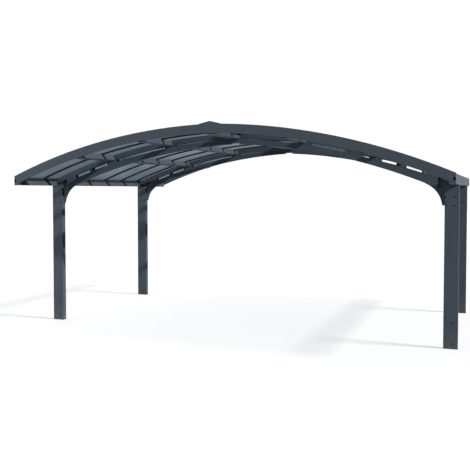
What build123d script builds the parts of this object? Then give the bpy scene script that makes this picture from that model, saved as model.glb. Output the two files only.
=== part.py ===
from build123d import *
from math import asin, degrees, sqrt
import os

# A free-standing double carport: four posts carry two arched frames of two chords each,
# purlins run from front to rear between the chords, and bent clear sheets lie on them.
# Millimetres. X runs across the arch, Y from front to rear, Z up from the ground.
# The origin is on the ground in the middle of the plan.

# Plan and height
width = 6270.0
depth = 4860.0
frame_spacing = 2868.0
eave_height = 2169.0

# Roof curve: each half is an arc whose centre lies past the ridge line
roof_radius = 8250.0
ridge_shift = 140.0

# Posts, upright rectangular tubes
post_width = 186.0
post_depth = 80.0
post_wall = 4.0
post_corner = 6.0

# Foot brackets, bolted to the ground inside the posts
foot_height = 460.0
foot_plate = 8.0
foot_cheek = 6.0
foot_fit = 0.3
anchor_spacing = 100.0
anchor_diameter = 14.0

# Lower chords of the frames, tubes that get slimmer towards the ridge
beam_wall = 4.0
beam_ridge_depth = 71.0
beam_ridge_drop = 5.0
beam_top_radius = 8120.0
beam_top_shift = 270.0
beam_soffit_radius = 8170.0
beam_soffit_shift = 340.0
beam_post_gap = 89.0

# Splices that join the two halves of a lower chord at the ridge
apex_gap = 150.0
splice_length = 360.0
splice_fit = 0.3
splice_rise = 14.0

# Upper chords of the frames, between the purlins
rail_wall = 3.0
rail_fit = 0.3

# Knee brackets in the corner of a post and its frame
knee_web = 24.0
knee_tip = 5.0
knee_radius = 355.0
knee_standoff = 31.0
knee_drop = 273.0
knee_fit = 0.3
tongue_drop = 40.0

# Purlins, from front to rear
purlin_width = 80.0
purlin_height = 78.0
purlin_wall = 3.0
purlin_corner = 5.0
purlin_rows = 3
purlin_eave_space = 140.0
ridge_purlin_gap = 2.0

# Cleats between the two chords of a frame
cleat_width = 168.0
cleat_wall = 5.0
spacer_width = 45.0

# Roof sheets and the bars that join them
sheet_thickness = 10.0
sheets_per_side = 8
sheet_ridge_gap = 20.0
sheet_overhang = 42.0
bar_flange = 3.0
bar_web = 4.0
bar_bottom_width = 26.0
bar_top_width = 40.0
bar_clearance = 1.0

# Fascias along the front and rear arches
fascia_thickness = 5.0
fascia_upstand = 34.0
fascia_lift = 8.0
spill_width = 28.0
spill_height = 46.0

# Gutters along the eaves
gutter_width = 82.0
gutter_height = 126.0
gutter_wall = 4.0
gutter_bead = 12.0

# Ridge cap
cap_half_width = 166.0
cap_sheet = 3.0
cap_edge_drop = 6.0
cap_peak_rise = 45.0
cap_end_rise = 16.0
cap_end_slant = 18.0

overrun = 20.0

# Places that follow from the sizes above
half_width = width / 2
roof_end = depth / 2 - fascia_thickness
post_inner = half_width - post_width
beam_end = post_inner - beam_post_gap
gutter_inner = half_width - gutter_width
arc_height = eave_height + gutter_height - sqrt(roof_radius**2 - (half_width + ridge_shift) ** 2)
sheet_top = roof_radius - fascia_upstand
sheet_bottom = sheet_top - sheet_thickness
bar_bottom = sheet_bottom - bar_flange
bar_top = sheet_top + bar_flange
purlin_bottom = sqrt(bar_bottom**2 - (purlin_width / 2) ** 2) - purlin_height
knee_bottom = eave_height - knee_drop
purlin_pitch = (half_width - purlin_eave_space) / purlin_rows
sheet_pitch = 2 * roof_end / sheets_per_side

sides = {"left": -1, "right": 1}
ends = {"front": -1, "rear": 1}


def arch_plane(side, y):
    """Upright plane across the arch at y: its x runs out from the ridge, its y runs up"""
    return Plane(origin=(0, y, 0), x_dir=(side, 0, 0), z_dir=(0, -side, 0))


def roof_point(radius, out):
    """Point on an arc of the roof, at a distance out from the ridge line"""
    return (out, arc_height + sqrt(radius**2 - (out + ridge_shift) ** 2))


beam_crown = roof_point(purlin_bottom, 0)[1] - beam_ridge_drop
beam_top_height = beam_crown - sqrt(beam_top_radius**2 - beam_top_shift**2)
soffit_height = beam_crown - beam_ridge_depth - sqrt(beam_soffit_radius**2 - beam_soffit_shift**2)


def top_point(raise_by, out):
    """Point on the upper edge of a lower chord, raised square to the edge"""
    radius = beam_top_radius + raise_by
    return (out, beam_top_height + sqrt(radius**2 - (out + beam_top_shift) ** 2))


def soffit_point(raise_by, out):
    """Point on the lower edge of a lower chord, raised square to the edge"""
    radius = beam_soffit_radius + raise_by
    return (out, soffit_height + sqrt(radius**2 - (out + beam_soffit_shift) ** 2))


def arc_band(upper, lower, start, end):
    """Outline between two arcs, each given as a function of the distance from the ridge"""
    middle = (start + end) / 2
    with BuildLine() as outline:
        top = ThreePointArc(upper(start), upper(middle), upper(end))
        bottom = ThreePointArc(lower(start), lower(middle), lower(end))
        Line(top @ 0, bottom @ 0)
        Line(top @ 1, bottom @ 1)
    return outline.edges()


def roof_band(lower_radius, upper_radius, start, end):
    """Outline between two radii of the roof"""
    return arc_band(
        lambda out: roof_point(upper_radius, out),
        lambda out: roof_point(lower_radius, out),
        start,
        end,
    )


def beam_band(top_inset, soffit_inset, start, end):
    """Outline of a lower chord, drawn in on its upper and lower edges"""
    return arc_band(
        lambda out: top_point(-top_inset, out),
        lambda out: soffit_point(soffit_inset, out),
        start,
        end,
    )


def save(piece, name):
    """Label a finished piece and write its file"""
    piece.part.label = name
    export_step(piece.part, f"parts/{name}.step")


os.makedirs("parts", exist_ok=True)


# Posts: open tubes with rounded corners, slotted at the head for the knee bracket
def make_post(side, end):
    with BuildPart() as post:
        with BuildSketch(Plane.XY):
            with Locations((side * (post_inner + post_width / 2), end * frame_spacing / 2)):
                RectangleRounded(post_width, post_depth, post_corner)
                Rectangle(post_width - 2 * post_wall, post_depth - 2 * post_wall, mode=Mode.SUBTRACT)
        extrude(amount=eave_height)
        with BuildSketch(arch_plane(side, end * frame_spacing / 2)):
            with Locations((post_inner, knee_bottom + knee_drop / 2)):
                Rectangle(2 * (post_wall + knee_fit), knee_drop)
        extrude(amount=knee_web / 2 + knee_fit, both=True, mode=Mode.SUBTRACT)
    return post


# Feet: a ground plate with two cheeks that fit inside the post
foot_width = post_width - 2 * post_wall - 2 * foot_fit
foot_depth = post_depth - 2 * post_wall - 2 * foot_fit


def make_foot(side, end):
    place = (side * (post_inner + post_width / 2), end * frame_spacing / 2)
    with BuildPart() as foot:
        with BuildSketch(Plane.XY):
            with Locations(place):
                Rectangle(foot_width, foot_depth)
                with GridLocations(anchor_spacing, 0, 2, 1):
                    Circle(anchor_diameter / 2, mode=Mode.SUBTRACT)
        extrude(amount=foot_plate)
        with BuildSketch(Plane.XY):
            with Locations(place):
                Rectangle(foot_width, foot_depth)
                Rectangle(foot_width + overrun, foot_depth - 2 * foot_cheek, mode=Mode.SUBTRACT)
        extrude(amount=foot_height)
    return foot


# Lower chords: each half is a tube that tapers from the knee to the ridge
def make_beam(side, end):
    with BuildPart() as beam:
        with BuildSketch(arch_plane(side, end * frame_spacing / 2)):
            make_face(beam_band(0, 0, apex_gap / 2, beam_end))
        extrude(amount=post_depth / 2, both=True)
        with BuildSketch(arch_plane(side, end * frame_spacing / 2)):
            make_face(beam_band(beam_wall, beam_wall, 0, beam_end + overrun))
        extrude(amount=post_depth / 2 - beam_wall, both=True, mode=Mode.SUBTRACT)
    return beam


# Splices: a block under the ridge purlins, with a bar into the tube on each side
def make_splice(end):
    gap = beam_wall + splice_fit
    with BuildPart() as splice:
        for side in sides.values():
            with BuildSketch(arch_plane(side, end * frame_spacing / 2)):
                make_face(beam_band(gap, splice_rise, 0, splice_length / 2))
            extrude(amount=post_depth / 2 - gap, both=True)
            with BuildSketch(arch_plane(side, end * frame_spacing / 2)):
                make_face(
                    arc_band(
                        lambda out: roof_point(purlin_bottom, out),
                        lambda out: soffit_point(splice_rise, out),
                        0,
                        apex_gap / 2 - splice_fit,
                    )
                )
            extrude(amount=post_depth / 2, both=True)
    return splice


# Knee brackets: a web with a round edge under both chords, and a tongue inside the post
knee_centre_out = post_inner - knee_standoff - knee_radius
knee_run = beam_soffit_radius - knee_radius - knee_tip
knee_centre_up = soffit_height + sqrt(knee_run**2 - (knee_centre_out + beam_soffit_shift) ** 2)
knee_touch_out = knee_centre_out + (knee_centre_out + beam_soffit_shift) * knee_radius / knee_run
web_width = gutter_inner - knee_fit - knee_touch_out
web_height = roof_point(purlin_bottom, knee_touch_out)[1] - knee_bottom
tongue_start = post_inner + post_wall + knee_fit
tongue_end = half_width - post_wall - knee_fit


def make_knee(side, end):
    with BuildPart() as knee:
        with BuildSketch(arch_plane(side, end * frame_spacing / 2)):
            with Locations((knee_touch_out + web_width / 2, knee_bottom + web_height / 2)):
                Rectangle(web_width, web_height)
            with Locations((knee_centre_out, knee_centre_up)):
                Circle(knee_radius, mode=Mode.SUBTRACT)
            make_face(
                arc_band(
                    lambda out: soffit_point(web_height, out),
                    lambda out: soffit_point(0, out),
                    knee_touch_out - overrun,
                    beam_end + knee_fit,
                ),
                mode=Mode.SUBTRACT,
            )
            make_face(
                roof_band(purlin_bottom, purlin_bottom + web_height, knee_touch_out, gutter_inner),
                mode=Mode.SUBTRACT,
            )
            with Locations(((post_inner + tongue_end) / 2, knee_bottom + knee_drop / 2)):
                Rectangle(tongue_end - post_inner, knee_drop)
            with Locations(((tongue_start + tongue_end) / 2, knee_bottom)):
                Rectangle(tongue_end - tongue_start, 2 * tongue_drop)
        extrude(amount=knee_web / 2, both=True)
    return knee


# Fascias: bent strips on edge across the ends of the purlins, each with an end plate for the
# gutter and a spill slot in it
def make_fascia(side, end):
    spill_out = half_width - gutter_wall - spill_width / 2
    with BuildPart() as fascia:
        with BuildSketch(arch_plane(side, end * (depth - fascia_thickness) / 2)):
            make_face(roof_band(purlin_bottom + fascia_lift, roof_radius + fascia_lift, 0, half_width))
            with Locations((half_width / 2, eave_height + roof_radius / 2)):
                Rectangle(width, roof_radius, mode=Mode.INTERSECT)
            with Locations((gutter_inner + gutter_width / 2, eave_height + gutter_height / 2)):
                Rectangle(gutter_width, gutter_height)
            with Locations((spill_out, eave_height + gutter_height / 2)):
                SlotOverall(spill_height, spill_width, rotation=90, mode=Mode.SUBTRACT)
        extrude(amount=fascia_thickness / 2, both=True)
    return fascia


# Gutters: open channels on the post heads, which also carry the lower ends of the sheets
def make_gutter(side):
    inner_wall_top = roof_point(bar_bottom, gutter_inner + gutter_wall)[1]
    with BuildPart() as gutter:
        with BuildSketch(arch_plane(side, 0)):
            with BuildLine():
                Polyline(
                    (half_width, eave_height + gutter_height),
                    (half_width, eave_height),
                    (gutter_inner, eave_height),
                    (gutter_inner, inner_wall_top),
                    (gutter_inner + gutter_wall, inner_wall_top),
                    (gutter_inner + gutter_wall, eave_height + gutter_wall),
                    (half_width - gutter_wall, eave_height + gutter_wall),
                    (half_width - gutter_wall, eave_height + gutter_height - gutter_wall),
                    (half_width - gutter_bead, eave_height + gutter_height - gutter_wall),
                    (half_width - gutter_bead, eave_height + gutter_height),
                    close=True,
                )
            make_face()
        extrude(amount=roof_end, both=True)
    return gutter


# Purlins: straight tubes square to the roof, one at the ridge and two below on each side
def purlin_turn(row):
    """Distance out from the ridge, and tilt in degrees, of the middle of a purlin"""
    first = ridge_purlin_gap if row == 0 else row * purlin_pitch
    out = first + purlin_width / 2
    return out, degrees(asin((out + ridge_shift) / (purlin_bottom + purlin_height / 2)))


def make_purlin(side, row):
    out, tilt = purlin_turn(row)
    with BuildPart() as purlin:
        with BuildSketch(arch_plane(side, 0)):
            with Locations(roof_point(purlin_bottom + purlin_height / 2, out)):
                RectangleRounded(purlin_width, purlin_height, purlin_corner, rotation=-tilt)
                Rectangle(
                    purlin_width - 2 * purlin_wall,
                    purlin_height - 2 * purlin_wall,
                    rotation=-tilt,
                    mode=Mode.SUBTRACT,
                )
        extrude(amount=roof_end, both=True)
    return purlin


# Upper chords: tubes between the purlins, close under the sheets
def make_rail(side, end):
    inner_end = purlin_turn(0)[0]
    outer_end = gutter_inner - rail_fit
    with BuildPart() as rail:
        with BuildSketch(arch_plane(side, end * frame_spacing / 2)):
            make_face(roof_band(purlin_bottom, bar_bottom, inner_end, outer_end))
            for row in range(purlin_rows):
                out, tilt = purlin_turn(row)
                with Locations(roof_point(purlin_bottom + purlin_height / 2, out)):
                    Rectangle(
                        purlin_width + 2 * rail_fit,
                        2 * purlin_height,
                        rotation=-tilt,
                        mode=Mode.SUBTRACT,
                    )
        extrude(amount=post_depth / 2, both=True)
        with BuildSketch(arch_plane(side, end * frame_spacing / 2)):
            make_face(
                roof_band(
                    purlin_bottom + rail_wall,
                    bar_bottom - rail_wall,
                    inner_end,
                    gutter_inner + overrun,
                )
            )
        extrude(amount=post_depth / 2 - rail_wall, both=True, mode=Mode.SUBTRACT)
    return rail


# Cleats: short channels between the chords, under the purlins, half way to the knee and over it
def make_cleats(side, end):
    lower_out = purlin_turn(purlin_rows - 1)[0]
    spacer_out = (lower_out + cleat_width / 2 + knee_touch_out) / 2
    spans = [(spacer_out - spacer_width / 2, spacer_out + spacer_width / 2)]
    spans.append((knee_touch_out, beam_end))
    for row in range(1, purlin_rows):
        out = purlin_turn(row)[0]
        spans.append((out - cleat_width / 2, out + cleat_width / 2))
    with BuildPart() as cleats:
        for start, finish in spans:
            with BuildSketch(arch_plane(side, end * frame_spacing / 2)):
                make_face(
                    arc_band(
                        lambda out: roof_point(purlin_bottom, out),
                        lambda out: top_point(0, out),
                        start,
                        finish,
                    )
                )
            extrude(amount=post_depth / 2, both=True)
            with BuildSketch(arch_plane(side, end * frame_spacing / 2)):
                make_face(
                    arc_band(
                        lambda out: roof_point(purlin_bottom + overrun, out),
                        lambda out: top_point(cleat_wall, out),
                        start - overrun,
                        finish + overrun,
                    )
                )
            extrude(amount=post_depth / 2 - cleat_wall, both=True, mode=Mode.SUBTRACT)
    return cleats


# Roof sheets: bent panels from the ridge to the gutter, side by side
sheet_end = gutter_inner + sheet_overhang


def make_sheets(side):
    with BuildPart() as sheets:
        for number in range(sheets_per_side):
            middle = -roof_end + sheet_pitch * (number + 1 / 2)
            with BuildSketch(arch_plane(side, middle)):
                make_face(roof_band(sheet_bottom, sheet_top, sheet_ridge_gap, sheet_end))
            extrude(amount=(sheet_pitch - bar_web) / 2 - bar_clearance, both=True)
    return sheets


# Joint bars: I-shaped strips that hold two neighbouring sheets, cut in half at the fascias
def make_bars(side):
    with BuildPart() as bars:
        for number in range(sheets_per_side + 1):
            line = -roof_end + sheet_pitch * number
            for lower, upper, bar_width in (
                (bar_bottom, sheet_bottom, bar_bottom_width),
                (sheet_bottom, sheet_top, bar_web),
                (sheet_top, bar_top, bar_top_width),
            ):
                front = max(line - bar_width / 2, -roof_end)
                rear = min(line + bar_width / 2, roof_end)
                with BuildSketch(arch_plane(side, (front + rear) / 2)):
                    make_face(roof_band(lower, upper, sheet_ridge_gap, sheet_end))
                extrude(amount=(rear - front) / 2, both=True)
    return bars


# Ridge cap: a folded sheet over the gap between the two halves, with a taller plate at each end
def make_cap():
    inner = cap_half_width - cap_sheet
    foot = roof_point(bar_top, cap_half_width)[1]
    level = roof_point(roof_radius, cap_half_width)[1]
    edge = level - cap_edge_drop
    peak = roof_point(roof_radius, 0)[1] + cap_peak_rise
    shoulder = cap_half_width - cap_end_slant
    with BuildPart() as cap:
        with BuildSketch(arch_plane(1, 0)):
            with BuildLine():
                Polyline(
                    (-cap_half_width, foot),
                    (-cap_half_width, edge),
                    (0, peak),
                    (cap_half_width, edge),
                    (cap_half_width, foot),
                    close=True,
                )
            make_face()
            with BuildLine():
                Polyline(
                    (-inner, foot - overrun),
                    (-inner, edge - cap_sheet),
                    (0, peak - cap_sheet),
                    (inner, edge - cap_sheet),
                    (inner, foot - overrun),
                    close=True,
                )
            make_face(mode=Mode.SUBTRACT)
        extrude(amount=roof_end, both=True)
        for end in ends.values():
            with BuildSketch(arch_plane(1, end * (roof_end - cap_sheet / 2))):
                with BuildLine():
                    Polyline(
                        (-cap_half_width, foot),
                        (-cap_half_width, level),
                        (-shoulder, level + cap_end_rise),
                        (0, peak),
                        (shoulder, level + cap_end_rise),
                        (cap_half_width, level),
                        (cap_half_width, foot),
                        close=True,
                    )
                make_face()
            extrude(amount=cap_sheet / 2, both=True)
        for side in sides.values():
            with BuildSketch(arch_plane(side, 0)):
                make_face(roof_band(bar_bottom, bar_top, 0, cap_half_width + overrun))
            extrude(amount=depth / 2, both=True, mode=Mode.SUBTRACT)
    return cap


purlin_names = ("ridge_purlin", "upper_purlin", "lower_purlin")

for side_name, side in sides.items():
    for end_name, end in ends.items():
        corner = f"{side_name}_{end_name}"
        save(make_post(side, end), f"{corner}_post")
        save(make_foot(side, end), f"{corner}_foot")
        save(make_beam(side, end), f"{corner}_arch_beam")
        save(make_knee(side, end), f"{corner}_knee")
        save(make_fascia(side, end), f"{corner}_fascia")
        save(make_cleats(side, end), f"{corner}_cleats")
        save(make_rail(side, end), f"{corner}_upper_rail")
    for row, purlin_name in enumerate(purlin_names):
        save(make_purlin(side, row), f"{side_name}_{purlin_name}")
    save(make_gutter(side), f"{side_name}_gutter")
    save(make_sheets(side), f"{side_name}_roof_sheets")
    save(make_bars(side), f"{side_name}_joint_bars")

for end_name, end in ends.items():
    save(make_splice(end), f"{end_name}_apex_splice")

save(make_cap(), "ridge_cap")
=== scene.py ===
# %% [markdown]
# # An arched carport in anthracite
#
# Four posts carry two arched frames. Purlins run over the frames from front to rear, and bent
# grey sheets lie on the purlins under a ridge cap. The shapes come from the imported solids, so
# this lesson adds what a drawing office leaves to the fitter and the paint shop: finishes,
# bolts, screws, seals and edge trims. Lengths are in metres.

# %% Load the frame
import math
import bmesh
import bpy
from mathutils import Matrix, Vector


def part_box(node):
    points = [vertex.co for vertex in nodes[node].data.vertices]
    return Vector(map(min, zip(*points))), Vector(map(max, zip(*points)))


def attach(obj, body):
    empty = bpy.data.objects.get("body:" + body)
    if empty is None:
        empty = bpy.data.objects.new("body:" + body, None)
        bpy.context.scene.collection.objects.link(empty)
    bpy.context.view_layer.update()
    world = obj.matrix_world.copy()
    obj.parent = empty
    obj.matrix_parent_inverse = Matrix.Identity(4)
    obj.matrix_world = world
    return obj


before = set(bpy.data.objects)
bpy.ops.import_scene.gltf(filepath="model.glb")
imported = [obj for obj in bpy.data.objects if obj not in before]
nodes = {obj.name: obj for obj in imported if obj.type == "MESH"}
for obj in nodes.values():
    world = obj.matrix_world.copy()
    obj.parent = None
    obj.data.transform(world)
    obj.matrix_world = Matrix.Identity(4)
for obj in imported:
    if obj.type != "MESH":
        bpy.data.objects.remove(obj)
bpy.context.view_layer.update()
print("pieces from the packed frame:", len(nodes))

# %% [markdown]
# ## Camera
#
# A camera can be turned by hand until the view looks right. Here the viewing point was solved
# from the four post feet and the two vanishing points of the picture, which leaves less to
# guess. The eye stands to the right of the middle, a little above head height, and looks
# slightly down and to the left. The lens shift keeps the posts upright in a frame whose middle
# is below the horizon, as a shift lens does in photographs of buildings.

# %% Camera at the photograph's viewing angle
EYE = (3.544, -11.010, 2.100)
TILT, TURN = 87.84, 20.33  # degrees up from straight down, and to the left
LENS, SENSOR = 53.31, 36.0  # millimetres
LENS_SHIFT = -0.040
camera_data = bpy.data.cameras.new("camera")
camera_data.sensor_width = SENSOR
camera_data.lens = LENS
camera_data.shift_y = LENS_SHIFT
camera = bpy.data.objects.new("camera", camera_data)
camera.location = EYE
camera.rotation_euler = (math.radians(TILT), 0, math.radians(TURN))
bpy.context.scene.collection.objects.link(camera)
bpy.context.scene.camera = camera
print("camera at", EYE)

# %% [markdown]
# ## Colours and nodes
#
# Colours are written as on a paint chart, in hex. Shaders work with linear light, so one
# function turns hex into linear numbers. A second function adds a shader node: settings are
# plain attributes, and an input is either a value or the socket of another node. Nodes could
# be dragged together in the editor, but a script can be read and run again.

# %% Helpers for colours and nodes
def linear(code):
    """Linear colour from a hex code such as #3a444e"""
    levels = [int(code[i : i + 2], 16) / 255 for i in (1, 3, 5)]
    # The sRGB curve is straight near black and a power above
    return [c / 12.92 if c <= 0.04045 else ((c + 0.055) / 1.055) ** 2.4 for c in levels] + [1.0]


def add(tree, kind, inputs=None, **settings):
    """Add a node of a kind, with its settings, values and links"""
    node = tree.nodes.new(kind)
    for name, value in settings.items():
        setattr(node, name, value)
    for name, value in (inputs or {}).items():
        if isinstance(value, bpy.types.NodeSocket):
            tree.links.new(value, node.inputs[name])
        else:
            node.inputs[name].default_value = value
    return node


def new_material(name):
    """An empty node material, returned with its tree"""
    material = bpy.data.materials.new(name)
    material.use_nodes = True
    material.node_tree.nodes.clear()
    return material, material.node_tree


# The colour sockets of a Mix node
FACTOR, COLOUR_A, COLOUR_B, MIXED = 0, 6, 7, 2
print("helpers ready")

# %% [markdown]
# ## Light, floor and background
#
# The picture is a studio view on white with a low sun from the right and a little from the
# front. A photograph of a sky could light the scene, but a few plain lamps can be matched one
# by one. The white comes from colour and not from more light on the carport: rays of sight,
# which come from the camera, from gloss and through glass, see a white world and a pale floor,
# and the Light Path node tells them from the rays that gather light.

# %% Rays of sight
def sight(tree):
    """A node that is 1 for rays that look: from the camera, from gloss and through glass"""
    path = add(tree, "ShaderNodeLightPath")
    direct = add(tree, "ShaderNodeMath", {0: path.outputs["Is Camera Ray"],
                                          1: path.outputs["Is Transmission Ray"]},
                 operation="MAXIMUM")
    return add(tree, "ShaderNodeMath", {0: direct.outputs[0], 1: path.outputs["Is Glossy Ray"]},
               operation="MAXIMUM")


print("rays of sight can be told from rays of light")

# %% [markdown]
# The carport's front gets brighter towards its left end, so the world is bright on the left,
# dim behind the carport and nearly dark elsewhere. Two ramps over the direction do this
# without a picture. In a world shader the normal points from the sky back to the carport, so
# light from the left has a positive X and light from behind has a negative Y.

# %% World
SCREEN, BEHIND, REST = 2.2, 0.7, 0.05
world = bpy.data.worlds.new("studio")
bpy.context.scene.world = world
world.use_nodes = True
tree = world.node_tree
tree.nodes.clear()
way = add(tree, "ShaderNodeNewGeometry")
parts = add(tree, "ShaderNodeSeparateXYZ", {0: way.outputs["Normal"]})
left = add(tree, "ShaderNodeMapRange", {"Value": parts.outputs["X"], "To Min": REST,
                                        "To Max": SCREEN})
rear = add(tree, "ShaderNodeMapRange", {"Value": parts.outputs["Y"], "From Max": -1.0,
                                        "To Max": BEHIND})
level = add(tree, "ShaderNodeMath", {0: left.outputs[0], 1: rear.outputs[0]}, operation="ADD")
fill = add(tree, "ShaderNodeBackground", {"Color": linear("#f1f3f7"),
                                          "Strength": level.outputs[0]})
white = add(tree, "ShaderNodeBackground", {"Color": linear("#ffffff"), "Strength": 1.0})
seen = sight(tree)
both = add(tree, "ShaderNodeMixShader", {0: seen.outputs[0], 1: fill.outputs[0],
                                         2: white.outputs[0]})
add(tree, "ShaderNodeOutputWorld", {"Surface": both.outputs[0]})
print("world:", world.name)

# %% [markdown]
# Two lamps light the carport. The sun is narrow, so joint bars throw sharp, slanted shadows
# on the purlins, and faces that look to the right are the bright ones. A soft lamp the size of
# a studio screen stands near the left front and lifts that end. It hides from rays of sight,
# so that no white square shows in the gloss.

# %% Sun and soft lamp
SUN_POWER, SUN_WIDTH, SUN_TRAVEL = 5.5, 1.2, (-1.80, 0.52, -1.00)  # width in degrees
SOFT_POWER, SOFT_SIZE, SOFT_TRAVEL = 230.0, 3.0, (1.0, 0.93, 0.0)
SOFT_PLACE = (-7.5, -6.5, 2.4)


def add_lamp(name, kind, power, travel):
    """A lamp whose light travels in a direction"""
    data = bpy.data.lights.new(name, kind)
    data.energy = power
    lamp = bpy.data.objects.new(name, data)
    lamp.rotation_euler = Vector(travel).to_track_quat("-Z", "Y").to_euler()
    bpy.context.scene.collection.objects.link(lamp)
    return lamp


sun = add_lamp("sun", "SUN", SUN_POWER, SUN_TRAVEL)
sun.data.angle = math.radians(SUN_WIDTH)
soft_lamp = add_lamp("soft_lamp", "AREA", SOFT_POWER, SOFT_TRAVEL)
soft_lamp.data.size = SOFT_SIZE
soft_lamp.location = SOFT_PLACE
soft_lamp.visible_camera = False
soft_lamp.visible_glossy = False
soft_lamp.visible_transmission = False
print("lamps on the carport:", sun.name, soft_lamp.name)

# %% [markdown]
# The studio floor is matt paint. One white plane would throw light up under the roof, so the
# material has two sides. Rays that gather light find a dark grey. Rays of sight find a lighter
# grey with a glow of its own, which is white in full light and still keeps the shadow.

# %% Floor
FLOOR_GLOW = 0.50
FLOOR_REACH, FLOOR_DROP = 60.0, 0.001
FLOOR_CORNERS = ((-1, -1), (1, -1), (1, 1), (-1, 1))
floor_material, tree = new_material("white_studio_floor_matt_paint")
paint = add(tree, "ShaderNodeBsdfDiffuse", {"Color": linear("#5c6268")})
shade = add(tree, "ShaderNodeBsdfDiffuse", {"Color": linear("#9c9c9c")})
glow = add(tree, "ShaderNodeEmission", {"Color": linear("#ffffff"), "Strength": FLOOR_GLOW})
pale = add(tree, "ShaderNodeAddShader", {0: shade.outputs[0], 1: glow.outputs[0]})
seen = sight(tree)
floor_mix = add(tree, "ShaderNodeMixShader", {0: seen.outputs[0], 1: paint.outputs[0],
                                              2: pale.outputs[0]})
add(tree, "ShaderNodeOutputMaterial", {"Surface": floor_mix.outputs[0]})

floor_mesh = bpy.data.meshes.new("floor")
floor_mesh.from_pydata(
    [(x * FLOOR_REACH, y * FLOOR_REACH, -FLOOR_DROP) for x, y in FLOOR_CORNERS],
    [], [(0, 1, 2, 3)])
floor = bpy.data.objects.new("floor", floor_mesh)
floor.data.materials.append(floor_material)
bpy.context.scene.collection.objects.link(floor)
print("made", floor_material.name)

# %% [markdown]
# The shadow on the ground is softer and steeper than the shadows on the frame, as it is when a
# studio lights the ground by itself. So one lamp lights the floor alone, and the others leave
# the floor out: a lamp can name the objects that receive its light, and also those that throw
# its shadows. Posts, knees, gutters and sheets do, as on the picture's ground, where the thin
# frames, purlins and bars don't show.

# %% Lamp for the ground
GROUND_POWER, GROUND_WIDTH, GROUND_TRAVEL = 4.5, 10.0, (-0.78, 0.00, -1.00)  # width in degrees
SHADOW_THROWERS = ("post", "knee", "gutter", "sheets")
ground_lamp = add_lamp("ground_lamp", "SUN", GROUND_POWER, GROUND_TRAVEL)
ground_lamp.data.angle = math.radians(GROUND_WIDTH)
for lamp, state in ((ground_lamp, "INCLUDE"), (sun, "EXCLUDE"), (soft_lamp, "EXCLUDE")):
    receivers = bpy.data.collections.new(f"{lamp.name}_receivers")
    receivers.objects.link(floor)
    receivers.collection_objects[0].light_linking.link_state = state
    lamp.light_linking.receiver_collection = receivers
blockers = bpy.data.collections.new("ground_lamp_blockers")
for name, piece in nodes.items():
    if name.endswith(SHADOW_THROWERS):
        blockers.objects.link(piece)
ground_lamp.light_linking.blocker_collection = blockers
bpy.context.scene.view_settings.view_transform = "Standard"

# %% [markdown]
# ## Anthracite powder coat
#
# The aluminium is sprayed with charged powder and baked. To the eye it is an even, dark
# blue-grey with little gloss and a fine orange peel a couple of millimetres across. Outdoors
# it gathers a little dust on faces that look up and splashes of soil near the ground. Its
# edges are paler: partly rubbed where hands and tools touch them, and partly a painted
# highlight where light would catch them. One flat colour would do from afar, but the
# layers keep large faces from looking empty. A bevel lookup finds the edges, and it also
# rounds them, as the thick film does.

# %% Powder coat: tone, dust and soil
COAT_PATCH, SPECK = 0.450, 0.030  # sizes across
MOST_DUST, MOST_SOIL, SPLASH_HEIGHT = 0.30, 0.34, 0.28
coat, tree = new_material("anthracite_powder_coat_sprayed_and_baked")
place = add(tree, "ShaderNodeTexCoord").outputs["Object"]
shape = add(tree, "ShaderNodeNewGeometry")
axes = add(tree, "ShaderNodeSeparateXYZ", {0: place})
facing = add(tree, "ShaderNodeSeparateXYZ", {0: shape.outputs["Normal"]})
cloud = add(tree, "ShaderNodeTexNoise", {"Vector": place, "Scale": 1 / COAT_PATCH, "Detail": 4.0})
speck = add(tree, "ShaderNodeTexNoise", {"Vector": place, "Scale": 1 / SPECK, "Detail": 5.0})
tone = add(tree, "ShaderNodeMix", {FACTOR: cloud.outputs[0], COLOUR_A: linear("#3f474f"),
                                   COLOUR_B: linear("#485058")}, data_type="RGBA")
up = add(tree, "ShaderNodeMapRange", {"Value": facing.outputs["Z"], "From Min": 0.5,
                                      "From Max": 1.0, "To Min": 0.0, "To Max": MOST_DUST})
dust = add(tree, "ShaderNodeMath", {0: up.outputs[0], 1: speck.outputs[0]}, operation="MULTIPLY")
dusty = add(tree, "ShaderNodeMix", {FACTOR: dust.outputs[0], COLOUR_A: tone.outputs[MIXED],
                                    COLOUR_B: linear("#8e908c")}, data_type="RGBA")
low = add(tree, "ShaderNodeMapRange", {"Value": axes.outputs["Z"], "From Min": 0.0,
                                       "From Max": SPLASH_HEIGHT, "To Min": MOST_SOIL,
                                       "To Max": 0.0})
splash = add(tree, "ShaderNodeMath", {0: low.outputs[0], 1: speck.outputs[0]},
             operation="MULTIPLY")
soiled = add(tree, "ShaderNodeMix", {FACTOR: splash.outputs[0], COLOUR_A: dusty.outputs[MIXED],
                                     COLOUR_B: linear("#7d766c")}, data_type="RGBA")
print("tone, dust and soil of", coat.name)

# %% Powder coat: edges, orange peel and film
FILM_ROUND, PEEL, MOST_RUB_AND_HIGHLIGHT = 0.0025, 0.0024, 0.55
rounded = add(tree, "ShaderNodeBevel", {"Radius": FILM_ROUND}, samples=4)
match = add(tree, "ShaderNodeVectorMath", {0: rounded.outputs[0], 1: shape.outputs["Normal"]},
            operation="DOT_PRODUCT")
# Edges turn paler: partly rubbed wear, partly a painted highlight where light would catch them
edge = add(tree, "ShaderNodeMapRange", {"Value": match.outputs["Value"], "From Min": 0.97,
                                        "From Max": 0.75, "To Min": 0.0, "To Max": MOST_RUB_AND_HIGHLIGHT})
rub_and_highlight = add(tree, "ShaderNodeMath", {0: edge.outputs[0], 1: speck.outputs[0]}, operation="MULTIPLY")
worn_and_highlit = add(tree, "ShaderNodeMix", {FACTOR: rub_and_highlight.outputs[0], COLOUR_A: soiled.outputs[MIXED],
                                   COLOUR_B: linear("#77818a")}, data_type="RGBA")
dull = add(tree, "ShaderNodeMapRange", {"Value": cloud.outputs[0], "To Min": 0.58,
                                        "To Max": 0.70})
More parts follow.
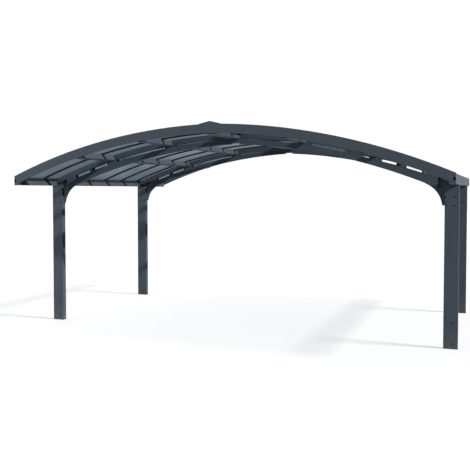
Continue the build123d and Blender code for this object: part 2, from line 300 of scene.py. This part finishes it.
peel = add(tree, "ShaderNodeTexNoise", {"Vector": place, "Scale": 1 / PEEL, "Detail": 1.0})
texture = add(tree, "ShaderNodeBump", {"Height": peel.outputs[0], "Normal": rounded.outputs[0],
                                       "Strength": 0.25, "Distance": 0.0003})
film = add(tree, "ShaderNodeBsdfPrincipled", {"Base Color": worn_and_highlit.outputs[MIXED],
                                              "Roughness": dull.outputs[0],
                                              "Normal": texture.outputs[0],
                                              "Specular IOR Level": 0.06})
add(tree, "ShaderNodeOutputMaterial", {"Surface": film.outputs[0]})
print("made", coat.name)

# %% [markdown]
# ## Grey twin-wall polycarbonate
#
# The roof panels are extruded: two thin skins held apart by ribs every ten millimetres or so,
# which run down the slope. Grey pigment lets part of the light through. To the eye the panel
# is slate grey from below, and a little brighter where the sun meets it squarely, near the
# ridge. A glass shader would bend light that the thin skins don't bend, so the shader mixes
# three parts: a smooth plastic, a milky part that scatters light to the other face, and a
# tinted see-through part. The ribs are a repeat across the panel. Lamp rays pass with less
# loss than sight, because the pigment scatters light forward.

# %% Polycarbonate: ribs and pigment
RIB_PITCH, SHEET_PATCH = 0.0105, 0.350
sheet, tree = new_material("grey_twin_wall_polycarbonate_extruded")
place = add(tree, "ShaderNodeTexCoord").outputs["Object"]
axes = add(tree, "ShaderNodeSeparateXYZ", {0: place})
turns = add(tree, "ShaderNodeMath", {0: axes.outputs["Y"], 1: 1 / RIB_PITCH},
            operation="MULTIPLY")
saw = add(tree, "ShaderNodeMath", {0: turns.outputs[0]}, operation="FRACT")
rib = add(tree, "ShaderNodeMapRange", {"Value": saw.outputs[0], "From Min": 0.86,
                                       "From Max": 0.94})
cloud = add(tree, "ShaderNodeTexNoise", {"Vector": place, "Scale": 1 / SHEET_PATCH,
                                         "Detail": 3.0})
pigment = add(tree, "ShaderNodeMix", {FACTOR: cloud.outputs[0], COLOUR_A: linear("#5a6a75"),
                                      COLOUR_B: linear("#5f6f7a")}, data_type="RGBA")
ribbed = add(tree, "ShaderNodeMix", {FACTOR: rib.outputs[0], COLOUR_A: pigment.outputs[MIXED],
                                     COLOUR_B: linear("#4a5962")}, data_type="RGBA")
clear = add(tree, "ShaderNodeMix", {FACTOR: rib.outputs[0], COLOUR_A: linear("#d8e6ee"),
                                    COLOUR_B: linear("#c4d2db")}, data_type="RGBA")
print("ribs and pigment of", sheet.name)

# %% Polycarbonate: plastic, milk and window
GRIME, MILKY_SHARE, BODY_SHARE = 0.012, 0.14, 0.84
grime = add(tree, "ShaderNodeTexNoise", {"Vector": place, "Scale": 1 / GRIME, "Detail": 4.0})
gloss = add(tree, "ShaderNodeMapRange", {"Value": grime.outputs[0], "To Min": 0.34,
                                         "To Max": 0.50})
wave = add(tree, "ShaderNodeBump", {"Height": rib.outputs[0], "Strength": 0.15,
                                    "Distance": 0.0002})
plastic = add(tree, "ShaderNodeBsdfPrincipled", {"Base Color": ribbed.outputs[MIXED],
                                                 "Normal": wave.outputs[0],
                                                 "Roughness": gloss.outputs[0], "IOR": 1.58,
                                                 "Specular IOR Level": 0.08})
milky = add(tree, "ShaderNodeBsdfTranslucent", {"Color": clear.outputs[MIXED]})
body = add(tree, "ShaderNodeMixShader", {0: MILKY_SHARE, 1: plastic.outputs[0],
                                         2: milky.outputs[0]})
window = add(tree, "ShaderNodeBsdfTransparent", {"Color": clear.outputs[MIXED]})
panel = add(tree, "ShaderNodeMixShader", {0: BODY_SHARE, 1: window.outputs[0],
                                          2: body.outputs[0]})
lamp_way = add(tree, "ShaderNodeBsdfTransparent", {"Color": linear("#f7f7f7")})
path = add(tree, "ShaderNodeLightPath")
surface = add(tree, "ShaderNodeMixShader", {0: path.outputs["Is Shadow Ray"],
                                            1: panel.outputs[0], 2: lamp_way.outputs[0]})
add(tree, "ShaderNodeOutputMaterial", {"Surface": surface.outputs[0]})
print("made", sheet.name)

# %% [markdown]
# ## Galvanised steel
#
# The foot brackets stand in wet ground, so they are steel dipped in molten zinc. The zinc
# freezes into flakes about a centimetre across, which the eye sees as a grey patchwork.
# A cell pattern gives each flake its own tone, which a cloudy noise can't do.

# %% Galvanised steel
FLAKE, ZINC_GRAIN = 0.012, 0.004
zinc, tree = new_material("galvanised_steel_hot_dipped")
place = add(tree, "ShaderNodeTexCoord").outputs["Object"]
flake = add(tree, "ShaderNodeTexVoronoi", {"Vector": place, "Scale": 1 / FLAKE})
grain = add(tree, "ShaderNodeTexNoise", {"Vector": place, "Scale": 1 / ZINC_GRAIN, "Detail": 3.0})
patch = add(tree, "ShaderNodeSeparateColor", {0: flake.outputs["Color"]})
spangle = add(tree, "ShaderNodeMix", {FACTOR: patch.outputs[0], COLOUR_A: linear("#8d9398"),
                                      COLOUR_B: linear("#b4babe")}, data_type="RGBA")
dull = add(tree, "ShaderNodeMapRange", {"Value": grain.outputs[0], "To Min": 0.32,
                                        "To Max": 0.58})
skin = add(tree, "ShaderNodeBsdfPrincipled", {"Base Color": spangle.outputs[MIXED],
                                              "Metallic": 1.0, "Roughness": dull.outputs[0]})
add(tree, "ShaderNodeOutputMaterial", {"Surface": skin.outputs[0]})
print("made", zinc.name)

# %% [markdown]
# ## Black bolts
#
# Bolts and screws are steel, plated with black zinc in a turning barrel. To the eye they are
# dark dots on the posts with a soft metal sheen. One fine noise drives both the tone and the
# gloss, because rubbed spots in a barrel get paler and rougher together.

# %% Black bolts
PLATING_GRAIN = 0.003
black, tree = new_material("black_zinc_steel_barrel_plated")
place = add(tree, "ShaderNodeTexCoord").outputs["Object"]
grain = add(tree, "ShaderNodeTexNoise", {"Vector": place, "Scale": 1 / PLATING_GRAIN,
                                         "Detail": 4.0})
plating = add(tree, "ShaderNodeMix", {FACTOR: grain.outputs[0], COLOUR_A: linear("#1d2126"),
                                      COLOUR_B: linear("#343a41")}, data_type="RGBA")
dull = add(tree, "ShaderNodeMapRange", {"Value": grain.outputs[0], "To Min": 0.30,
                                        "To Max": 0.50})
skin = add(tree, "ShaderNodeBsdfPrincipled", {"Base Color": plating.outputs[MIXED],
                                              "Metallic": 0.6, "Roughness": dull.outputs[0]})
add(tree, "ShaderNodeOutputMaterial", {"Surface": skin.outputs[0]})
print("made", black.name)

# %% [markdown]
# ## Black joint bars
#
# The joint bars are extruded aluminium, anodised and dyed black. To the eye they are dull
# black lines with faint streaks along the way they were pressed. A noise that is stretched
# along the slope makes the streaks, which is simpler than painting them.

# %% Black anodised bars
STREAK_LONG, STREAK_WIDE = 0.4, 0.003
anodised, tree = new_material("black_anodised_aluminium_extruded")
place = add(tree, "ShaderNodeTexCoord").outputs["Object"]
drawn = add(tree, "ShaderNodeMapping",
            {"Vector": place, "Scale": (1 / STREAK_LONG, 1 / STREAK_WIDE, 1 / STREAK_LONG)})
streak = add(tree, "ShaderNodeTexNoise", {"Vector": drawn.outputs[0], "Scale": 1.0,
                                          "Detail": 4.0})
dye = add(tree, "ShaderNodeMix", {FACTOR: streak.outputs[0], COLOUR_A: linear("#14181d"),
                                  COLOUR_B: linear("#242a31")}, data_type="RGBA")
dull = add(tree, "ShaderNodeMapRange", {"Value": streak.outputs[0], "To Min": 0.42,
                                        "To Max": 0.60})
skin = add(tree, "ShaderNodeBsdfPrincipled", {"Base Color": dye.outputs[MIXED],
                                              "Roughness": dull.outputs[0],
                                              "Specular IOR Level": 0.3})
add(tree, "ShaderNodeOutputMaterial", {"Surface": skin.outputs[0]})
print("made", anodised.name)

# %% [markdown]
# ## Rubber
#
# Seals and strips are black rubber, extruded and a little chalky after some weather. To the
# eye they are the darkest lines of the roof, with hardly any gloss. Fine pores come from a
# bump, since they are far too small to model.

# %% Rubber
PORE = 0.002
rubber, tree = new_material("black_rubber_seal_extruded")
place = add(tree, "ShaderNodeTexCoord").outputs["Object"]
grain = add(tree, "ShaderNodeTexNoise", {"Vector": place, "Scale": 1 / PORE, "Detail": 3.0})
chalk = add(tree, "ShaderNodeMix", {FACTOR: grain.outputs[0], COLOUR_A: linear("#0d0f12"),
                                    COLOUR_B: linear("#1a1d21")}, data_type="RGBA")
pores = add(tree, "ShaderNodeBump", {"Height": grain.outputs[0], "Strength": 0.3,
                                     "Distance": 0.0002})
skin = add(tree, "ShaderNodeBsdfPrincipled", {"Base Color": chalk.outputs[MIXED],
                                              "Roughness": 0.68, "Normal": pores.outputs[0],
                                              "Specular IOR Level": 0.2})
add(tree, "ShaderNodeOutputMaterial", {"Surface": skin.outputs[0]})
print("made", rubber.name)

# %% [markdown]
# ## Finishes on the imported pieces
#
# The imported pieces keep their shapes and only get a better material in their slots. Each could
# be picked by hand, but names say what a piece is: roof sheets are polycarbonate, feet are
# galvanised, joint bars are black and everything else is coated.

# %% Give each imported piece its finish
for name, piece in nodes.items():
    if name.endswith("roof_sheets"):
        finish = sheet
    elif name.endswith("foot"):
        finish = zinc
    elif name.endswith("joint_bars"):
        finish = anodised
    else:
        finish = coat
    for slot in piece.material_slots:
        slot.material = finish
print("finishes on", len(nodes), "pieces")

# %% [markdown]
# ## A way to build small pieces
#
# A bolt, a seal and a trim are all swept shapes: a closed outline carried along a path. Curve
# objects with a bevel could do it, but their ends and corners are harder to rule. This function
# takes the outlines as rings of points, joins each ring to the next with faces and closes the
# two ends. Sharp edges are found by angle, so the rest shades smoothly.

# %% Swept shapes
SHARP_ANGLE = math.radians(32)


def sweep(mesh, rings):
    """Join rings of points into one closed skin"""
    loops = [[mesh.verts.new(point) for point in ring] for ring in rings]
    count = len(loops[0])
    for one, two in zip(loops, loops[1:]):
        for i in range(count):
            j = (i + 1) % count
            mesh.faces.new((one[i], one[j], two[j], two[i]))
    mesh.faces.new(loops[0][::-1])
    mesh.faces.new(loops[-1])


def finish_piece(mesh, name, material):
    """Turn a built mesh into a piece that rides on the carport"""
    bmesh.ops.recalc_face_normals(mesh, faces=mesh.faces)
    data = bpy.data.meshes.new(name)
    mesh.to_mesh(data)
    mesh.free()
    data.polygons.foreach_set("use_smooth", [True] * len(data.polygons))
    data.set_sharp_from_angle(angle=SHARP_ANGLE)
    data.materials.append(material)
    piece = bpy.data.objects.new(name, data)
    bpy.context.scene.collection.objects.link(piece)
    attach(piece, "root")


print("ready to sweep small pieces")

# %% [markdown]
# ## Bolts and screws
#
# A button-head bolt on a washer is turned on a lathe: its outline goes round an axis. Stacked
# cylinders would leave the head flat, and a turned outline gives the washer's chamfer and the
# low dome in one go. The key hole is a hexagon, so its ring is pulled out to six corners.

# %% Bolt outline
ROUND, DOME_STEPS = 24, 4
# Radius and height are shares of the washer's radius
CHAMFER_RADIUS, CHAMFER_FOOT, WASHER_TOP = 0.94, 0.10, 0.15
HEAD_RADIUS, RIM_RADIUS, DOME_FOOT, HEAD_TOP = 0.79, 0.42, 0.22, 0.57
KEY_WIDTH, KEY_FLOOR = 0.34, 0.30
BOLT_OUTLINE = [(1.00, 0.00), (1.00, CHAMFER_FOOT), (CHAMFER_RADIUS, WASHER_TOP),
                (HEAD_RADIUS, WASHER_TOP)]


def quarter_turn(steps):
    """Angles from level to upright, in equal steps"""
    return [math.pi / 2 * step / steps for step in range(steps + 1)]


for angle in quarter_turn(DOME_STEPS):
    BOLT_OUTLINE.append((RIM_RADIUS + (HEAD_RADIUS - RIM_RADIUS) * math.cos(angle),
                         DOME_FOOT + (HEAD_TOP - DOME_FOOT) * math.sin(angle)))
print("points on the bolt's outline:", len(BOLT_OUTLINE))

# %% Turn a bolt
def add_bolt(mesh, seat, outward, radius):
    """A button-head bolt on its washer, seated at a point and facing outward"""
    outward = outward.normalized()
    across = outward.orthogonal().normalized()
    along = outward.cross(across)

    def ring(spread, height):
        points = []
        for i in range(ROUND):
            angle = 2 * math.pi * i / ROUND
            reach = spread(angle) * radius
            points.append(seat + outward * height * radius
                          + (across * math.cos(angle) + along * math.sin(angle)) * reach)
        return points

    def key(angle):
        return KEY_WIDTH / math.cos((angle % (math.pi / 3)) - math.pi / 6)

    rings = [ring(lambda angle, r=r: r, h) for r, h in BOLT_OUTLINE]
    rings += [ring(key, HEAD_TOP), ring(key, KEY_FLOOR)]
    sweep(mesh, rings)


print("ready to turn bolts")

# %% [markdown]
# Near the ground two staggered columns of bolts go through each post into its foot bracket.
# Near the top four bolts hold the tongue of the knee bracket inside the post. The same bolts
# show on the front and on the rear, so one loop over both faces makes them.

# %% Bolts on posts
SIDES = (("left", -1), ("right", 1))
ENDS = ("front", "rear")
POST_BOLT = 0.0120
FOOT_COLUMNS = ((0.031, (0.135, 0.415)), (0.126, (0.071, 0.351)))  # from the left face, heights
HEAD_COLUMNS, HEAD_ROWS = (0.031, 0.137), (2.013, 1.901)  # from the inner face, heights
post_bolts = 0
for side_name, side in SIDES:
    for end_name in ENDS:
        corner = f"{side_name}_{end_name}"
        post_low, post_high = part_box(f"{corner}_post")
        inner_x = min(abs(post_low.x), abs(post_high.x))
        feet, heads = bmesh.new(), bmesh.new()
        for face, post_y in ((-1, post_low.y), (1, post_high.y)):
            outward = Vector((0, face, 0))
            for column, rows in FOOT_COLUMNS:
                for row in rows:
                    seat = Vector((post_low.x + column, post_y, row))
                    add_bolt(feet, seat, outward, POST_BOLT)
                    post_bolts += 1
            for column in HEAD_COLUMNS:
                for row in HEAD_ROWS:
                    seat = Vector((side * (inner_x + column), post_y, row))
                    add_bolt(heads, seat, outward, POST_BOLT)
                    post_bolts += 1
        finish_piece(feet, f"{corner}_foot_bolts", black)
        finish_piece(heads, f"{corner}_knee_bolts", black)
print("bolts on posts:", post_bolts)

# %% [markdown]
# The other bolts and screws sit on the arched frames and on bent sheets. They could be pushed
# into place by eye, but the roof's curve gives their places exactly. Each half is an arc whose
# centre lies a little past the ridge line. The width, the depth and the eave are read from the
# gutter, and the rest repeats the sizes of the solids.

# %% The roof curve
gutter_low, gutter_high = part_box("right_gutter")
gutter_inner, half_width = gutter_low.x, gutter_high.x
roof_end, eave_top = gutter_high.y, gutter_high.z

ROOF_RADIUS, RIDGE_SHIFT = 8.250, 0.140
SHEET_DROP, SHEET_THICK = 0.034, 0.010
SHEET_TOP = ROOF_RADIUS - SHEET_DROP
SHEET_BOTTOM = SHEET_TOP - SHEET_THICK
BAR_FLANGE = 0.003
BAR_TOP = SHEET_TOP + BAR_FLANGE
BAR_BOTTOM = SHEET_BOTTOM - BAR_FLANGE
centre_height = eave_top - math.sqrt(ROOF_RADIUS**2 - (half_width + RIDGE_SHIFT) ** 2)


def roof_height(radius, out):
    """Height of an arc of the roof at a distance out from the ridge line"""
    return centre_height + math.sqrt(radius**2 - (out + RIDGE_SHIFT) ** 2)


print("ridge height of the sheets:", round(roof_height(SHEET_TOP, 0), 3))

# %% [markdown]
# On the arched frames, two bolts hold each cleat and two hold each half to the splice at the
# ridge. These are smaller, because the cleats are low. Their heights lie midway between two
# edges, so the edges of the lower chord are needed: each is an arc of its own.

# %% Edges of the lower chord
PURLIN_HALF, PURLIN_TALL = 0.040, 0.078
PURLIN_BOTTOM = math.sqrt(BAR_BOTTOM**2 - PURLIN_HALF**2) - PURLIN_TALL
CHORD_RADIUS, CHORD_SHIFT, RIDGE_DROP = 8.120, 0.270, 0.005
SOFFIT_RADIUS, SOFFIT_SHIFT, RIDGE_DEPTH = 8.170, 0.340, 0.071
chord_crown = roof_height(PURLIN_BOTTOM, 0) - RIDGE_DROP
chord_centre = chord_crown - math.sqrt(CHORD_RADIUS**2 - CHORD_SHIFT**2)
soffit_centre = chord_crown - RIDGE_DEPTH - math.sqrt(SOFFIT_RADIUS**2 - SOFFIT_SHIFT**2)


def chord_height(out):
    """Height of the upper edge of a lower chord"""
    return chord_centre + math.sqrt(CHORD_RADIUS**2 - (out + CHORD_SHIFT) ** 2)


def soffit_height(out):
    """Height of the lower edge of a lower chord"""
    return soffit_centre + math.sqrt(SOFFIT_RADIUS**2 - (out + SOFFIT_SHIFT) ** 2)


print("depth of the lower chord at the ridge:", round(chord_height(0) - soffit_height(0), 3))

# %% Bolts on cleats and splices
SMALL_BOLT = 0.0070
EAVE_SPACE, PURLIN_ROWS = 0.140, 3
purlin_pitch = (half_width - EAVE_SPACE) / PURLIN_ROWS
PURLIN_OUTS = (purlin_pitch + PURLIN_HALF, 2 * purlin_pitch + PURLIN_HALF)
CLEAT_STEPS = (-0.052, 0.052)
SPLICE_OUTS = (0.105, 0.155)
for end_name in ENDS:
    beam_low, beam_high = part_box(f"left_{end_name}_arch_beam")
    for side_name, side in SIDES:
        bolts = bmesh.new()
        for face, y in ((-1, beam_low.y), (1, beam_high.y)):
            outward = Vector((0, face, 0))
            for out in [middle + step for middle in PURLIN_OUTS for step in CLEAT_STEPS]:
                height = (chord_height(out) + roof_height(PURLIN_BOTTOM, out)) / 2
                add_bolt(bolts, Vector((side * out, y, height)), outward, SMALL_BOLT)
            for out in SPLICE_OUTS:
                height = (chord_height(out) + soffit_height(out)) / 2
                add_bolt(bolts, Vector((side * out, y, height)), outward, SMALL_BOLT)
        finish_piece(bolts, f"{side_name}_{end_name}_beam_bolts", black)
print("bolts on cleats and splices made")

# %% [markdown]
# Each joint bar is screwed down where it crosses a purlin and the gutter's edge, and the ridge
# cap has a row of screws on both slopes. Sealing washers keep the rain out. A screw has to
# stand square to the bent roof, so its direction comes from the arc too.

# %% Lines of the joint bars
SHEETS = 8
sheet_pitch = 2 * roof_end / SHEETS


def joint_line(number):
    """Place along the depth of a joint bar, counted from the front"""
    return -roof_end + sheet_pitch * number


def roof_normal(side, out):
    """Direction square to the roof, pointing up and outwards"""
    lean = (out + RIDGE_SHIFT) / ROOF_RADIUS
    return Vector((side * lean, 0, math.sqrt(1 - lean**2)))


print("from one joint bar to the next:", round(sheet_pitch, 4))

# %% Screws on the roof
SCREW = 0.0085
END_INSET, GUTTER_STEP = 0.010, 0.004
CAP_HALF, CAP_EDGE_DROP, CAP_PEAK_RISE = 0.166, 0.006, 0.045
CAP_SCREW_OUT = 0.125
cap_peak = roof_height(ROOF_RADIUS, 0) + CAP_PEAK_RISE
cap_edge = roof_height(ROOF_RADIUS, CAP_HALF) - CAP_EDGE_DROP
cap_slope = (cap_peak - cap_edge) / CAP_HALF
for side_name, side in SIDES:
    screws, cap_screws = bmesh.new(), bmesh.new()
    for number in range(SHEETS + 1):
        line = max(-roof_end + END_INSET, min(roof_end - END_INSET, joint_line(number)))
        for out in (*PURLIN_OUTS, gutter_inner + GUTTER_STEP):
            seat = Vector((side * out, line, roof_height(BAR_TOP, out)))
            add_bolt(screws, seat, roof_normal(side, out), SCREW)
    for number in range(SHEETS):
        seat = Vector((side * CAP_SCREW_OUT, joint_line(number + 0.5),
                       cap_peak - cap_slope * CAP_SCREW_OUT))
        add_bolt(cap_screws, seat, Vector((side * cap_slope, 0, 1)), SCREW)
    finish_piece(screws, f"{side_name}_bar_screws", black)
    finish_piece(cap_screws, f"{side_name}_cap_screws", black)
print("roof screws made")

# %% [markdown]
# ## Seals along the joint bars
#
# A rubber lip closes the gap between each flange of a joint bar and the sheet. From below the
# lips widen the dark line at each joint. A dark stripe in the sheet's material could stand in
# for them, but a lip has a rounded edge that catches light, so its quarter-round outline is
# carried along the arc.

# %% Outline and path of a lip
ARC_STEPS, LIP_ROUND = 26, 3
SHEET_RIDGE_GAP, SHEET_OVERHANG = 0.020, 0.042
sheet_end = gutter_inner + SHEET_OVERHANG
LIP_WIDTH, LIP_HEIGHT, LIP_LIFT = 0.0090, 0.0024, 0.0002
LIP_OUTLINE = [(0.0, 0.0)]
LIP_OUTLINE += [(math.cos(angle), math.sin(angle)) for angle in quarter_turn(LIP_ROUND)]


def add_lip(mesh, side, start_y, toward, surface, lift):
    """One lip from ridge to gutter, beside a flange and on a face of the sheet"""
    rings = []
    for step in range(ARC_STEPS + 1):
        out = SHEET_RIDGE_GAP + (sheet_end - SHEET_RIDGE_GAP) * step / ARC_STEPS
        ring = []
        for across, above in LIP_OUTLINE:
            radius = surface + lift * (LIP_LIFT + above * LIP_HEIGHT)
            ring.append(Vector((side * out, start_y + toward * across * LIP_WIDTH,
                                roof_height(radius, out))))
        rings.append(ring)
    sweep(mesh, rings)


print("a lip reaches out to", round(sheet_end, 3))

# %% Rubber lips
UPPER_FLANGE_HALF, LOWER_FLANGE_HALF = 0.020, 0.013
FLANGES = ((SHEET_TOP, 1, UPPER_FLANGE_HALF), (SHEET_BOTTOM, -1, LOWER_FLANGE_HALF))
for side_name, side in SIDES:
    lips = bmesh.new()
    for number in range(SHEETS + 1):
        for surface, lift, half in FLANGES:
            for toward in (-1, 1):
                start = joint_line(number) + toward * half
                if abs(start) < roof_end:
                    add_lip(lips, side, start, toward, surface, lift)
    finish_piece(lips, f"{side_name}_bar_seals", rubber)
print("rubber lips made")

# %% [markdown]
# ## Drip stems below the joint bars
#
# Below each bar hangs a thin stem with a thicker, bevelled foot, which stiffens the joint and
# leads drops of condensed water down to the gutter. From below, the stems and the lips together
# make the dark lines of the joints, and the stems' shadows make slanted marks on the purlins.
# A stem stops at each purlin, so it is cut into three lengths on each side of the ridge. Half
# of the outline is written down and the other half is its mirror image.

# %% Drip stems
STEM_PLAY, STEM_EAVE_GAP, STEM_STEPS = 0.0015, 0.009, 10
STEM_HALF = (  # distance to the side and depth below the bar
    (0.0025, 0.0000), (0.0025, 0.0125), (0.0040, 0.0140), (0.0040, 0.0165), (0.0022, 0.0180),
)
STEM_OUTLINE = [*STEM_HALF, *((-across, depth) for across, depth in reversed(STEM_HALF))]
stem_top = BAR_BOTTOM - LIP_LIFT
purlin_faces = [sorted((abs(low.x), abs(high.x))) for low, high in
                (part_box(f"right_{row}_purlin") for row in ("ridge", "upper", "lower"))]
span_starts = [outer for inner, outer in purlin_faces]
span_stops = [inner for inner, outer in purlin_faces[1:]] + [gutter_inner - STEM_EAVE_GAP]
for side_name, side in SIDES:
    stems = bmesh.new()
    for number in range(1, SHEETS):
        line = joint_line(number)
        for start, stop in zip(span_starts, span_stops):
            rings = []
            for step in range(STEM_STEPS + 1):
                out = start + STEM_PLAY + (stop - start - 2 * STEM_PLAY) * step / STEM_STEPS
                rings.append([Vector((side * out, line + across, roof_height(stem_top - depth, out)))
                              for across, depth in STEM_OUTLINE])
            sweep(stems, rings)
    finish_piece(stems, f"{side_name}_bar_stems", anodised)
print("drip stems made, from", [round(x, 3) for x in span_starts], "to",
      [round(x, 3) for x in span_stops])

# %% [markdown]
# ## Edge trims in the gutter
#
# The flutes of a twin-wall sheet are closed at the bottom with a U-shaped aluminium trim, so
# that insects and leaves stay out. A box with a cut would need a boolean, and the trim is a
# straight extrusion anyway, so its outline is carried across the sheet from one joint bar to
# the next.

# %% Trims on the lower ends of the sheets
TRIM_REACH, TRIM_WALL, TRIM_PLAY, TRIM_SIDE_GAP = 0.022, 0.0012, 0.0002, 0.0245
trim_half = sheet_pitch / 2 - TRIM_SIDE_GAP
TRIM_OVER, TRIM_UNDER = SHEET_TOP + TRIM_PLAY, SHEET_BOTTOM - TRIM_PLAY
TRIM_OUTLINE = (  # distance from the sheet's end and radius
    (-TRIM_REACH, TRIM_OVER + TRIM_WALL),
    (TRIM_PLAY + TRIM_WALL, TRIM_OVER + TRIM_WALL),
    (TRIM_PLAY + TRIM_WALL, TRIM_UNDER - TRIM_WALL),
    (-TRIM_REACH, TRIM_UNDER - TRIM_WALL),
    (-TRIM_REACH, TRIM_UNDER),
    (TRIM_PLAY, TRIM_UNDER),
    (TRIM_PLAY, TRIM_OVER),
    (-TRIM_REACH, TRIM_OVER),
)
for side_name, side in SIDES:
    trims = bmesh.new()
    for number in range(SHEETS):
        middle = joint_line(number + 0.5)
        rings = []
        for y in (middle - trim_half, middle + trim_half):
            rings.append([Vector((side * (sheet_end + step), y,
                                  roof_height(radius, sheet_end + step)))
                          for step, radius in TRIM_OUTLINE])
        sweep(trims, rings)
    finish_piece(trims, f"{side_name}_sheet_trims", coat)
print("edge trims made, each", round(2 * trim_half, 3), "wide")

# %% [markdown]
# ## Dark strips at the eaves
#
# Under the sheets a strip of black rubber lies along the top of the gutter's inner wall, and
# from inside it makes a dark band along the top of the gutter. It is cut in lengths that fit
# between the upper chords of the frames, so each length is a plain block and needs only two
# rings.

# %% Dark strips along the gutters
STRIP_THICK, STRIP_TALL, STRIP_PLAY = 0.008, 0.036, 0.0004
rail_low, rail_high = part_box("right_front_upper_rail")
rail_half = (rail_high.y - rail_low.y) / 2 + STRIP_PLAY
rail_middle = abs(rail_low.y + rail_high.y) / 2
STRETCHES = ((-roof_end, -rail_middle - rail_half),
             (-rail_middle + rail_half, rail_middle - rail_half),
             (rail_middle + rail_half, roof_end))
inner, outer = gutter_inner - STRIP_THICK, gutter_inner - STRIP_PLAY
top = roof_height(BAR_BOTTOM, outer) - STRIP_PLAY
bottom = top - STRIP_TALL
for side_name, side in SIDES:
    strips = bmesh.new()
    for start, stop in STRETCHES:
        sweep(strips, [[Vector((side * x, y, z)) for x, z in
                        ((inner, bottom), (outer, bottom), (outer, top), (inner, top))]
                       for y in (start + STRIP_PLAY, stop - STRIP_PLAY)])
    finish_piece(strips, f"{side_name}_eave_strips", rubber)
print("foam strips made, top at", round(top, 3))
